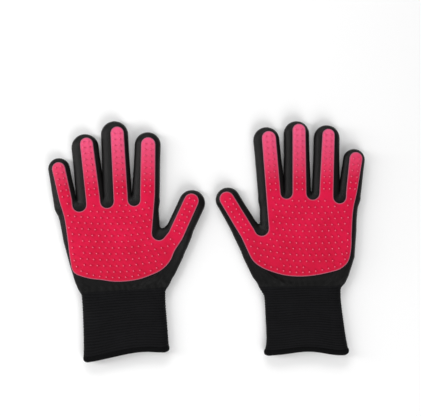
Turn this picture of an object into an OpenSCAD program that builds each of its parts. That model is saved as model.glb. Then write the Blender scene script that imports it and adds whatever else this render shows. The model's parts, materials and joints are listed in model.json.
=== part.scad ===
// A pair of pet grooming gloves, laid side by side with the palms up.
// Each glove is a hollow knitted hand with a soft ribbed cuff, and a nubbed silicone pad on the palm side.
// The fingers fold at the root and at the middle knuckle, and the cuff folds at the wrist.
// Units are millimetres. The floor is Z = 0, +Y points to the fingertips, and the palms face +Z.

/* [Knitted hand] */
// Thickness of the hand and fingers, lying flat
hand_t = 14; // [13:0.5:16]
// Thickness of the knitted wall
wall = 1.4; // [1:0.1:1.6]
// Distance from the wrist to the finger roots
root_y = 97; // [94:1:100]
// Clear gap between two parts that fold against each other
fold_gap = 0.3; // [0.2:0.05:0.5]

/* [Silicone pad] */
// Thickness of the silicone sheet
sheet_t = 1.2; // [0.8:0.1:1.6]
// Height of one nub above the sheet
nub_h = 2.3; // [1.5:0.1:2.6]
// Radius of a nub at its foot
nub_r = 1.15; // [0.8:0.05:1.3]
// Radius of a nub at its tip
nub_tip_r = 0.55; // [0.3:0.05:0.7]
// Spacing of the nubs along a row on the palm
nub_pitch = 6.7; // [6:0.1:8]
// Spacing of the rows of nubs
row_pitch = 6.2; // [5.8:0.1:7]

/* [Cuff] */
// Length of the ribbed cuff, without its hem
cuff_len = 65; // [50:1:80]
// Width of the cuff at the wrist
cuff_top_w = 86; // [82:1:90]
// Width of the cuff at the hem
cuff_end_w = 88; // [84:1:96]
// Thickness of the cuff, lying flat
cuff_t = 13; // [12:0.5:14]
// Thickness of the cuff's wall
cuff_wall = 1.8; // [1.4:0.1:2.2]
// Length of the overlocked hem
hem_len = 4; // [3:0.5:6]

/* [Hidden] */
$fn = 48;

pad_z = hand_t;
nub_z = pad_z + sheet_t;
nub_edge = 3.1;                 // least distance from a nub's centre to the edge of its sheet
nub_lane = 2.9;                 // distance of a finger's two rows of nubs from its middle line
row_turn = -8;                  // where across the palm its rows of nubs are lowest
thumb_side_rise = 0.0025;       // rise of a row towards the thumb, for each millimetre squared
outer_side_rise = 0.0012;       // the same towards the little finger
crotch_r = 7.3;                 // radius of the pad's notch between thumb and index finger
crotch_inset = 1.7;             // how far that notch's middle lies inside the index finger's edge
web_w = 4.4;                    // width of the web between two fingers
web_len = 4;
hem_proud = 1;                  // how far the hem stands out past the cuff on each side
reach = 140;                    // longer than any finger, for the cutting blocks

// One row for each finger: name, root point, lean towards the little finger in degrees, width, length,
// rows of nubs below the middle knuckle, half width of the pad at the root and at the tip,
// bare length left at the tip, the pad's sideways shift at the root and at the tip, and how far below
// the roots the pad is notched on the finger's outer side.
// Both gloves are described with the thumb on the +X side.
LITTLE = 0;
RING = 1;
MIDDLE = 2;
INDEX = 3;
THUMB = 4;
RIGHT_FINGERS = [
    ["little", [-55.4, root_y], 7, 22.5, 43.8, 3, 6.2, 6.8, 4.5, 2.4, 0.4, 0],
    ["ring", [-28.4, root_y], 2.8, 27, 66.9, 4, 7.3, 6.7, 4.2, 3.2, 2.6, 6.2],
    ["middle", [-0.6, root_y], -0.9, 27, 78.4, 5, 7.3, 6.8, 6.2, 3.9, 3.4, 4.4],
    ["index", [29, root_y], -5.7, 26.5, 65.1, 4, 7.8, 7.4, 5.6, 2.2, 0.9, 4.5],
    ["thumb", [58.9, 53.2], -28.5, 27, 50.3, 4, 7.9, 7.6, 4, -1.1, -1.4, 40.5]
];
LEFT_FINGERS = [
    ["little", [-51.6, root_y], 8.6, 22, 44.5, 3, 6.5, 6.8, 3.2, -1.6, -1.2, 0],
    ["ring", [-26.8, root_y], 1.8, 26, 69.4, 4, 7.2, 6.4, 4.1, 0.2, -1.3, 5.6],
    ["middle", [3, root_y], 0.2, 25.8, 74.1, 5, 7.2, 6.8, 3.1, -1.9, -2.3, 1.2],
    ["index", [29.6, root_y], -4.7, 25.8, 68.6, 4, 7.5, 7.3, 4.6, -1.5, -2.5, 0.2],
    ["thumb", [56.5, 54.6], -29.5, 25.5, 53.3, 4, 7.8, 7.5, 3.8, -1.5, -0.9, 37]
];

// One row for each glove: name, wrist point, lean of the whole glove in degrees, mirrored or not,
// fingers, sideways shift and slant of the cuff's far end, how much fuller the pad's outer side is,
// and how much higher its heel lies.
GLOVES = [
    ["right", [-86, -50.9], 3.5, false, RIGHT_FINGERS, -1, 3.3, 0.2, 0],
    ["left", [99.1, -46.8], 1, true, LEFT_FINGERS, -4, 0.3, -1.7, 1.2]
];

PARTS = ["base_knit", "base_pad", "tip_knit", "tip_pad"];

function part_name(g, f, part) = str(g[0], "_", f[0], "_", part);
function finger_root(f) = f[1];
function finger_lean(f) = f[2];
function finger_w(f) = f[3];
function finger_len(f) = f[4];
function knuckle(f) = f[5] * row_pitch;
function pad_half_root(f) = f[6];
function pad_half_tip(f) = f[7];
function bare_tip(f) = f[8];
function pad_shift_root(f) = f[9];
function pad_shift_tip(f) = f[10];
function notch_drop(f) = f[11];
function glove_lean(g) = g[2];
function is_mirrored(g) = g[3];
function fingers(g) = g[4];
function cuff_shift(g) = g[5];
function cuff_slant(g) = g[6];
function pad_fullness(g) = g[7];
function heel_rise(g) = g[8];
function thumb_of(g) = fingers(g)[THUMB];
// The four fingers are cut square to the glove, and the thumb square to itself.
function cut_turn(f) = f[0] == "thumb" ? 0 : -finger_lean(f);
function turned(p, a) = [p.x * cos(a) - p.y * sin(a), p.x * sin(a) + p.y * cos(a)];
function from_finger(f, p) = finger_root(f) + turned(p, finger_lean(f));

// ---- outlines -------------------------------------------------------------------------------

function arc(centre, r, from, to, steps = 8) = [
    for (i = [0 : steps]) let (a = from + (to - from) * i / steps) centre + r * [cos(a), sin(a)]
];

// A smooth curve through points, which leaves out the first and the last of them.
function curve(p, steps = 4) = [
    for (i = [1 : len(p) - 3], j = [0 : steps - 1])
        let (t = j / steps, a = p[i - 1], b = p[i], c = p[i + 1], d = p[i + 2])
        0.5 * (2 * b + (c - a) * t + (2 * a - 5 * b + 4 * c - d) * t * t + (3 * b - a - 3 * c + d) * t * t * t),
    p[len(p) - 2]
];

// The heel of the pad, from the little finger's side round to the thumb's side.
function pad_corner(f, side, y) = from_finger(f, [pad_shift_root(f) + side * pad_half_root(f), y]);
function heel(g) = concat(
    [for (p = [[-63, 118], [-60.4, 98], [-55.8, 78], [-53.9, 56], [-53, 38], [-49.8, 25], [-42, 17.6]])
        p - [pad_fullness(g), 0]],
    [for (p = [[-30, 13], [-15, 10.1], [0, 8.9], [15, 9.9], [28, 13.2], [41.3, 18.7]]) p + [0, heel_rise(g)]],
    [[50.4, 27.2], [55.8, 37.5]],
    [pad_corner(thumb_of(g), 1, 0), pad_corner(thumb_of(g), 1, 12)]
);

// A rounded notch in the pad between two fingers, from the right one's edge to the left one's.
function notch(right, left) = let (
    a = pad_corner(right, -1, 0),
    b = pad_corner(left, 1, 0)
) arc([(a.x + b.x) / 2, root_y - notch_drop(right)], (a.x - b.x) / 2, 0, -180, 10);
function crotch(g) = let (f = fingers(g)) arc(
    [finger_root(f[INDEX]).x + finger_w(f[INDEX]) / 2 - crotch_inset, root_y - notch_drop(f[THUMB])],
    crotch_r, -25, -180, 8
);

// The pad on the palm runs a little past its folds, where palm_pad() trims it.
function palm_pad_outline(g) = let (f = fingers(g)) concat(
    curve(heel(g)),
    [pad_corner(f[THUMB], 1, 3), pad_corner(f[THUMB], -1, 3), pad_corner(f[THUMB], -1, -1)],
    crotch(g),
    [for (i = [INDEX : -1 : RING]) each concat(
        [pad_corner(f[i], 1, 3), pad_corner(f[i], -1, 3)], notch(f[i], f[i - 1])
    )],
    [pad_corner(f[LITTLE], 1, 3), pad_corner(f[LITTLE], -1, 3)]
);

// A finger's strip of pad, in the finger's own frame: straight sides and a round end.
function strip_outline(f) = let (end_y = finger_len(f) - bare_tip(f) - pad_half_tip(f)) concat(
    [[pad_shift_root(f) - pad_half_root(f), -8], [pad_shift_root(f) + pad_half_root(f), -8]],
    arc([pad_shift_tip(f), end_y], pad_half_tip(f), 0, 180, 12)
);

// ---- where the nubs stand ---------------------------------------------------------------------

function to_segment(p, a, b) =
    let (t = max(0, min(1, (p - a) * (b - a) / ((b - a) * (b - a))))) norm(p - a - t * (b - a));
function to_edge(p, outline) = min([
    for (i = [0 : len(outline) - 1]) to_segment(p, outline[i], outline[(i + 1) % len(outline)])
]);
function crossings(p, o) = [
    for (i = [0 : len(o) - 1])
        let (a = o[i], b = o[(i + 1) % len(o)])
        if ((a.y > p.y) != (b.y > p.y) && p.x < a.x + (p.y - a.y) * (b.x - a.x) / (b.y - a.y)) 1
];
function is_inside(p, outline) = len(crossings(p, outline)) % 2 == 1;

// Nubs follow the heel's edge in one curved row, and fill the rest of the palm in staggered rows.
function along(points, pitch, left = 0, i = 0) = i >= len(points) - 1 ? [] :
    let (run = norm(points[i + 1] - points[i]), n = floor((run - left) / pitch))
    run < left ? along(points, pitch, left - run, i + 1) :
    concat(
        [for (k = [0 : n]) points[i] + (points[i + 1] - points[i]) * (left + k * pitch) / run],
        along(points, pitch, left + (n + 1) * pitch - run, i + 1)
    );
function inward(points, d) = [
    for (i = [1 : len(points) - 2])
        let (t = points[i + 1] - points[i - 1]) points[i] + d * [-t.y, t.x] / norm(t)
];
function edge_nubs(g) = along(inward(curve([for (i = [2 : 14]) heel(g)[i]], 8), 4.4), nub_pitch);

// The rows run level across the pair, and rise a little towards both sides of the palm.
function row_rise(g, x) = let (d = x - row_turn)
    (d > 0 ? thumb_side_rise : outer_side_rise) * d * d - d * tan(glove_lean(g)) * (is_mirrored(g) ? -1 : 1);
function palm_grid(g, outline, taken) = [
    for (row = [-2 : 15], col = [-10 : 10])
        let (x = (col + (row % 2) / 2) * nub_pitch + row_turn,
             p = [x, root_y - (row + 0.5) * row_pitch + row_rise(g, x)])
        if (is_inside(p, outline) && to_edge(p, outline) > nub_edge
            && min([for (q = taken) norm(p - q)]) > 4.8) p
];
function palm_nubs(g) = let (edge = edge_nubs(g)) concat(edge, palm_grid(g, trimmed_outline(g), edge));

// The grid keeps clear of the folds, which lie inside the untrimmed outline.
function trimmed_outline(g) = [
    for (p = palm_pad_outline(g))
        let (t = turned(p - finger_root(thumb_of(g)), -finger_lean(thumb_of(g))))
        abs(t.x) < 12 && t.y > 0 && t.y < 20 ? from_finger(thumb_of(g), [t.x, 0]) : [p.x, min(p.y, root_y)]
];

// Each nub of a finger stands on one of two lines that follow its strip.
function last_nub(f) = finger_len(f) - bare_tip(f) - nub_edge;
function strip_middle(f, y) =
    pad_shift_root(f) + (pad_shift_tip(f) - pad_shift_root(f)) * y / finger_len(f);
function strip_nubs(f, from, to) = [
    for (row = [0 : 14], lane = [-1, 1])
        let (y = (row + 0.5) * row_pitch)
        if (y > from && y < min(to, last_nub(f))) [strip_middle(f, y) + lane * nub_lane, y]
];

module nubs(points) {
    for (p = points) translate([p.x, p.y, nub_z - 0.2])
        cylinder(h = nub_h + 0.2, r1 = nub_r, r2 = nub_tip_r, $fn = 16);
}

// ---- forms shared by the parts ------------------------------------------------------------------

module flat_oval(w, t) {
    translate([-(w - t) / 2, 0]) square([w - t, t]);
    for (x = [-1, 1]) translate([x * (w - t) / 2, t / 2]) circle(t / 2);
}

// A flattened finger in its own frame, shrunk by the given wall.
module finger_form(f, shrink) {
    w = finger_w(f) - 2 * shrink;
    t = hand_t - 2 * shrink;
    end_y = finger_len(f) - finger_w(f) / 2;
    translate([0, 0, shrink]) {
        translate([0, end_y, 0]) rotate([90, 0, 0]) linear_extrude(end_y + 12) flat_oval(w, t);
        translate([0, end_y, 0]) rotate_extrude(angle = 180) intersection() {
            flat_oval(w, t);
            square([w, t]);
        }
    }
}

// Everything past a distance along the finger, with its near face cut square to the fold.
module past(f, y, w = reach) {
    translate([0, y, -1]) rotate(cut_turn(f)) translate([-w / 2, 0, 0]) cube([w, reach, 40]);
}

module between(f, from, to) {
    difference() {
        intersection() {
            children();
            past(f, from + fold_gap / 2);
        }
        past(f, to - fold_gap / 2);
    }
}

module at_finger(f) {
    translate(finger_root(f)) rotate(finger_lean(f)) children();
}

module finger_knit(f, from, to) {
    color("#161616") at_finger(f) between(f, from, to) difference() {
        finger_form(f, 0);
        finger_form(f, wall);
    }
}

module finger_pad(f, from, to) {
    color("#d81e4e") at_finger(f) {
        between(f, from, to) translate([0, 0, pad_z]) linear_extrude(sheet_t) polygon(strip_outline(f));
        nubs(strip_nubs(f, from, to));
    }
}

// ---- the palm ----------------------------------------------------------------------------------

function slab(g) = let (
    f = fingers(g),
    outer = from_finger(f[LITTLE], [(hand_t - finger_w(f[LITTLE])) / 2, 0]),
    inner = from_finger(f[INDEX], [(finger_w(f[INDEX]) - hand_t) / 2, 0])
) [
    [-37.3, -1], [-43, 12], [-47.4, 30], [outer.x, root_y + 6], [inner.x, root_y + 6], [inner.x, 55], [36.8, -1]
];
function thumb_side(g) = let (half = (finger_w(thumb_of(g)) - hand_t) / 2) [
    [36.8, -1], [47.2, 15.6], [55.2, 32.6], [25, 49],
    from_finger(thumb_of(g), [half, 3]), from_finger(thumb_of(g), [-half, 0])
];

module rounded_slab(centres, shrink) {
    hull() for (p = centres) translate([p.x, p.y, hand_t / 2]) sphere(hand_t / 2 - shrink, $fn = 28);
}

module palm_form(g, shrink) {
    intersection() {
        union() {
            rounded_slab(slab(g), shrink);
            difference() {
                rounded_slab(thumb_side(g), shrink);
                at_finger(thumb_of(g)) past(thumb_of(g), -fold_gap / 2);
            }
        }
        translate([-reach, fold_gap / 2, -1]) cube([2 * reach, root_y - fold_gap, 40]);
    }
}

module finger_webs(f) {
    for (i = [LITTLE : MIDDLE]) {
        left = from_finger(f[i], [finger_w(f[i]) / 2, 0]).x;
        right = from_finger(f[i + 1], [-finger_w(f[i + 1]) / 2, 0]).x;
        translate([(left + right) / 2 - web_w / 2, root_y - web_len, 0]) cube([web_w, web_len, hand_t]);
    }
}

module palm_knit(g) {
    thumb = thumb_of(g);
    color("#161616") {
        difference() {
            palm_form(g, 0);
            palm_form(g, wall);
            // the cavity runs out through the wrist, the finger roots and the thumb's root
            intersection() {
                rounded_slab(slab(g), wall);
                union() {
                    translate([-reach, -1, 0]) cube([2 * reach, 4, 40]);
                    translate([-reach, root_y - 3, 0]) cube([2 * reach, 4, 40]);
                }
            }
            intersection() {
                rounded_slab(thumb_side(g), wall);
                at_finger(thumb) past(thumb, -3);
            }
        }
        intersection() {
            palm_form(g, 0);
            finger_webs(fingers(g));
        }
    }
}

module palm_pad(g) {
    outline = palm_pad_outline(g);
    thumb = thumb_of(g);
    color("#d81e4e") {
        difference() {
            translate([0, 0, pad_z]) linear_extrude(sheet_t) polygon(outline);
            translate([-reach, root_y - fold_gap / 2, 0]) cube([2 * reach, 20, 40]);
            at_finger(thumb) past(thumb, -fold_gap / 2, finger_w(thumb));
        }
        nubs(palm_nubs(g));
    }
}

// ---- the cuff ------------------------------------------------------------------------------------

module cuff_slice(w, shrink, len) {
    translate([0, 0, shrink]) rotate([90, 0, 0]) linear_extrude(len) flat_oval(w - 2 * shrink, cuff_t - 2 * shrink);
}

module at_cuff_end(g) {
    translate([cuff_shift(g), -cuff_len, 0]) rotate(cuff_slant(g)) children();
}

module cuff(g) {
    color("#1a1a1b") difference() {
        hull() {
            translate([0, -fold_gap / 2, 0]) cuff_slice(cuff_top_w, 0, 0.2);
            at_cuff_end(g) translate([0, 0.2, 0]) cuff_slice(cuff_end_w, 0, 0.2);
        }
        hull() {
            translate([0, 1, 0]) cuff_slice(cuff_top_w, cuff_wall, 0.2);
            at_cuff_end(g) cuff_slice(cuff_end_w, cuff_wall, 1);
        }
    }
}

module hem(g) {
    w = cuff_end_w + 2 * hem_proud;
    color("#101010") at_cuff_end(g) difference() {
        rotate([90, 0, 0]) linear_extrude(hem_len) flat_oval(w, cuff_t + hem_proud);
        translate([0, 1, cuff_wall]) rotate([90, 0, 0]) linear_extrude(hem_len + 2)
            flat_oval(cuff_end_w - 2 * cuff_wall, cuff_t - 2 * cuff_wall);
    }
}

// ---- the pair --------------------------------------------------------------------------------------

module glove_frame(g) {
    translate(g[1]) rotate(glove_lean(g)) mirror([is_mirrored(g) ? 1 : 0, 0, 0]) children();
}

for (g = GLOVES) glove_frame(g) {
    palm_knit(g);
    palm_pad(g);
    cuff(g);
    hem(g);
    for (f = fingers(g)) {
        finger_knit(f, 0, knuckle(f));
        finger_pad(f, 0, knuckle(f));
        finger_knit(f, knuckle(f), reach);
        finger_pad(f, knuckle(f), reach);
    }
}
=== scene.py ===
import json
import math

import bmesh
import bpy
import numpy as np
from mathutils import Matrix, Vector
from mathutils.geometry import delaunay_2d_cdt


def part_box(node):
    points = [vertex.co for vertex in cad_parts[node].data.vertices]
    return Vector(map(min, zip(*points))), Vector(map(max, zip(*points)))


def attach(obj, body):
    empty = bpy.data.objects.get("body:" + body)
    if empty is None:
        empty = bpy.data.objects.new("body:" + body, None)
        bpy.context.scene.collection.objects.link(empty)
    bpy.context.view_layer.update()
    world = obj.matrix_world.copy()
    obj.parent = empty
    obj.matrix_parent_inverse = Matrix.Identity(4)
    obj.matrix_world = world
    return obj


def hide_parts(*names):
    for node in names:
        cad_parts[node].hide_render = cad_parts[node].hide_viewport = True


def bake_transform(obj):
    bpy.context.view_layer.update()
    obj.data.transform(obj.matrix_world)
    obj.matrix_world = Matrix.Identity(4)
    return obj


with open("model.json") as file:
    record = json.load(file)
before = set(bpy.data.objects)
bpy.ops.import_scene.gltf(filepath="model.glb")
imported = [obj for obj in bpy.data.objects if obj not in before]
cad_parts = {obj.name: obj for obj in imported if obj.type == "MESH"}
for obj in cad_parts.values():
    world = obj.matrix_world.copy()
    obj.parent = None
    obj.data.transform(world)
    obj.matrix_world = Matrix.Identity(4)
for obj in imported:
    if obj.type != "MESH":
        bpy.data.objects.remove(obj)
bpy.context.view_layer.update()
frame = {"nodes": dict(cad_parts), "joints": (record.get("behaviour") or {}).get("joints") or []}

# A pair of pet grooming gloves, laid out with the palms up: knitted hands, nubbed silicone pads, ribbed cuffs
# and rolled hems. Shapes are worked out in millimetres, in each glove's own flat frame.
MM = 0.001
SIDES = ("right", "left")
DIGITS = ("little", "ring", "middle", "index", "thumb")
JOINTS = {joint["name"]: joint for joint in frame["joints"]}

# The knitted hand
EDGE = 13.0          # how far in from the outline the hand rounds off
ACROSS_POWER = 2.4   # roundness of that edge, seen from above
HEIGHT_POWER = 2.2   # the same, seen from the side
WALL = 1.3           # thickness of the knit
WEB = 4.0            # softness of the webs where digits leave the palm
WEB_BELOW = 0.5      # how far the webs lie below the finger roots
ROOT_DEPTH = 5       # how far a digit's own form reaches down into the palm
PALM_ENDS = 3.0      # how far below the finger roots the palm's own piece stops
THUMB_STUB = 3.0     # how much of the thumb belongs to the palm's piece
FINGER_GAP = 0.1     # room left between fingers that touch
NET = 1.25           # mesh size of the palm
ROUND = 60           # points around a digit
SLOPE_STEP = 0.03    # half the step that slopes are measured over
THUMB_HOLLOW = (25, 49)    # where the thumb's side of the hand ends inside the palm
PALM_CORNER_Y = 55   # where the palm's straight inner side ends
PALM_BLEND = 4       # softness where the ball of the thumb meets the palm
WRIST_BLEND = 5      # and where the hand meets the cuff
CUFF_RISE = 12       # how far the cuff's form reaches up into the hand
CUFF_REACH = 66      # how far down the cuff its edges are followed
THICKNESS_CHANGE = 20    # length of cuff over which the hand's thickness becomes the cuff's
# middles of the rounds that the heel of the hand is built on, for each glove
OUTER_SIDE = {
    "right": [(-40.9, 6.8), (-43, 12), (-47.4, 30), (-52.5, 55), (-53.8, 66), (-55.2, 77), (-57.8, 88)],
    "left": [(-39.7, 6.3), (-42.4, 12), (-48.6, 30), (-51, 57), (-51.4, 67.5), (-52.5, 78), (-54, 88)]}
THUMB_SIDE = {"right": [(41.2, 6.9), (47.9, 15.6), (57.4, 32.6)],
              "left": [(36, 1.8), (44.7, 13.2), (53.8, 32.8)]}
# how much fuller each digit is than its plain form, because the knit is stretched over the form there
FULLER = {"right": {"little": 0, "ring": 0.7, "middle": 0.7, "index": 0.3, "thumb": 0.2},
          "left": {"little": 0.3, "ring": 0.5, "middle": 0.4, "index": 0.7, "thumb": 0}}
# and how much more it widens towards the palm, on each side
WIDENING = {"right": {"little": 0.7, "ring": 0.8, "middle": 1.0, "index": 0.9, "thumb": 0},
            "left": {"little": 0.6, "ring": 0.9, "middle": 1.0, "index": 0.6, "thumb": 1.0}}
THUMB_TWIST = {"right": 0, "left": -1.6}    # how far the thumb's knit lies off the middle of its fold

# The folds that gather the knit at the wrist: place, direction in degrees, length, width and height
THUMB_FOLDS = [(20, 4.5, 38, 14, 1.5, 0.8), (26, 7.5, 42, 15, 1.5, 1.0), (31.5, 11, 47, 16, 1.7, 1.0),
               (37, 16, 54, 18, 1.9, 0.9), (40, 7, 60, 12, 1.4, 0.8), (12, 2.5, 30, 10, 1.3, 0.5)]
OUTER_FOLDS = [(-38, 4, -48, 12, 1.4, 0.9), (-33, 2.6, -36, 12, 1.4, 0.7), (-43, 11, -62, 14, 1.6, 0.7)]
LEFT_ONLY_FOLDS = [(-36, 13, -52, 16, 1.7, 0.8), (-28, 5, -40, 14, 1.4, 0.8)]

# The silicone pad
NUB_ROW = 6.2                     # spacing of the rows of nubs on the fingers
RIM = [(0, -0.1), (0, 0.8), (0.1, 1.12), (0.32, 1.36), (0.62, 1.42), (0.95, 1.3), (1.35, 1.2)]
NUB = [(1.3, 1.2), (1.12, 1.34), (1.0, 1.6), (0.84, 2.4), (0.66, 3.1), (0.46, 3.42)]
NUB_TOP = 3.5
NUB_SIDES = 12
OUTLINE_STEP = 1.0
TOP_MESH = 2.0
UNDER_MESH = 4.0
FOLD_GAP = 0.15       # half the gap that the nodes leave at a fold
# where the pad lies a little off its plain outline: place, shift and reach
PAD_SHIFTS = {"right": [((-50, 22.5), (-1.5, -1.5), 9), ((-22, 11), (0, 0.8), 8)], "left": []}

# The cuff and hem
RIB = {"right": 2.83, "left": 2.45}    # spacing of the ribs
RIB_ROWS = 6         # rings of the mesh for each rib
RIB_HEIGHT = 0.5
# distance below the wrist, then the cuff's outer edge and its edge on the thumb's side
CUFF_EDGES = {
    "right": [(0, -44.2, 43.9), (8, -43.6, 42.9), (20, -44, 42.5), (35, -44, 42.9), (50, -44.7, 43),
              (64, -45.6, 43.4)],
    "left": [(0, -40.9, 42.6), (8, -40.2, 39.6), (20, -41, 38.6), (35, -42.4, 37.9), (50, -44.4, 37.6),
             (64, -46.6, 38.8)]}
# where the hem's lower edge runs, across the cuff
HEM_LINE = {
    "right": [(-45, -72.6), (-37, -72.3), (-29, -71.2), (-20.6, -69.7), (-12, -68.6), (-4, -67.2),
              (4.6, -66), (13, -65.4), (21, -65.6), (30, -66.4), (38, -67), (44, -66.4)],
    "left": [(-47, -71.9), (-40.7, -72.3), (-32.4, -72), (-24, -70.7), (-15.8, -69), (-7.5, -68.1),
             (0.8, -68.4), (9, -69.3), (17.5, -70.1), (26, -70.7), (34, -71.8), (40, -72.6)]}
CUFF_AROUND = 220
CUFF_WALL = 1.8
HEM_DEPTH = 2.8      # half the hem's length along the cuff
HEM_BULGE = 1.7      # half its thickness
HEM_STITCH = 1.7     # spacing of the overlock stitches
HEM_REACH = (-46, 43)
HEM_AROUND = 660     # points round the cuff
HEM_SECTION = 14     # points round the roll
HEM_CORNER = 5.0     # roundness of the cuff's two lower corners
HEM_FULLER = {"right": 0.15, "left": 0.45}    # how much fuller the hem is at those corners


# Reading the frame

def node_points(name):
    mesh = frame["nodes"][name].data
    flat = np.zeros(len(mesh.vertices) * 3)
    mesh.vertices.foreach_get("co", flat)
    return flat.reshape(-1, 3) / MM


def unit(v):
    return v / np.linalg.norm(v)


def lengths(v):
    return np.linalg.norm(v, axis=-1, keepdims=True)


def turns(count):
    """Evenly spaced angles round a circle."""
    return np.arange(count) * 2 * math.pi / count


def farthest(place, shape, limit, rounds, outside):
    """Places at the greatest reach that is still inside, found by halving."""
    near, far = np.zeros(shape), np.full(shape, limit)
    for _ in range(rounds):
        mid = (near + far) / 2
        out = outside(place(mid))
        far, near = np.where(out, mid, far), np.where(out, near, mid)
    return place(near)


def smooth_max(a, b, k):
    h = np.clip(0.5 + 0.5 * (a - b) / k, 0, 1)
    return b + (a - b) * h + k * h * (1 - h)


def smooth_step(t):
    t = np.clip(t, 0, 1)
    return t * t * (3 - 2 * t)


def polygon_depth(x, y, corners):
    """How deep points lie inside a polygon, negative outside it."""
    best = np.full(x.shape, np.inf)
    inside = np.zeros(x.shape, bool)
    for (ax, ay), (bx, by) in zip(corners, np.roll(corners, -1, axis=0)):
        ex, ey = bx - ax, by - ay
        t = np.clip(((x - ax) * ex + (y - ay) * ey) / (ex * ex + ey * ey), 0, 1)
        best = np.minimum(best, np.hypot(x - ax - t * ex, y - ay - t * ey))
        if ey:
            inside ^= ((ay > y) != (by > y)) & (x < ax + (y - ay) * ex / ey)
    return np.where(inside, best, -best)


class Digit:
    """A finger or thumb in its glove's frame: where it starts, where it points, and its size."""

    def __init__(self, glove, name):
        stem = f"{glove.side}_{name}"
        root_fold, middle_fold = JOINTS[stem + "_root_fold"], JOINTS[stem + "_middle_fold"]
        self.name = name
        self.root = glove.local(np.array([root_fold["pos_m"]]) / MM)[0, :2]
        reach = glove.local(np.array([middle_fold["pos_m"]]) / MM)[0, :2] - self.root
        self.knuckle = np.linalg.norm(reach)
        self.way = reach / self.knuckle
        self.aside = np.array([self.way[1], -self.way[0]])
        axis = np.array(root_fold["axis"][:2])
        square = np.array([[-axis[1], axis[0]]]) @ glove.to_local
        self.square = unit(square[0]) * np.sign(square[0] @ self.way)
        self.level = np.array([self.square[1], -self.square[0]])
        tip = glove.node(f"{name}_tip_knit")[:, :2] - self.root
        self.length = (tip @ self.way).max()
        self.width = np.ptp(tip @ self.aside) + 2 * FULLER[glove.side][name]
        self.widening = WIDENING[glove.side][name]
        self.twist = THUMB_TWIST[glove.side] * self.aside if name == "thumb" else 0
        rows = round(self.knuckle / NUB_ROW)
        self.cut = (rows + 1) // 2 * NUB_ROW
        self.slant = self.way @ self.square

    def past(self, x, y):
        """Distance past the root fold, square to it."""
        return (x - self.root[0]) * self.square[0] + (y - self.root[1]) * self.square[1]

    def off(self, x, y):
        return (x - self.root[0]) * self.aside[0] + (y - self.root[1]) * self.aside[1]

    def depth(self, x, y):
        start = self.root - ROOT_DEPTH * self.way + self.twist
        run = self.length - self.width / 2 + ROOT_DEPTH
        along = np.clip((x - start[0]) * self.way[0] + (y - start[1]) * self.way[1], 0, run)
        half = self.width / 2 + self.widening * smooth_step(1 - (along - ROOT_DEPTH) / (0.75 * run))
        return half - np.hypot(x - start[0] - along * self.way[0], y - start[1] - along * self.way[1])


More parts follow.
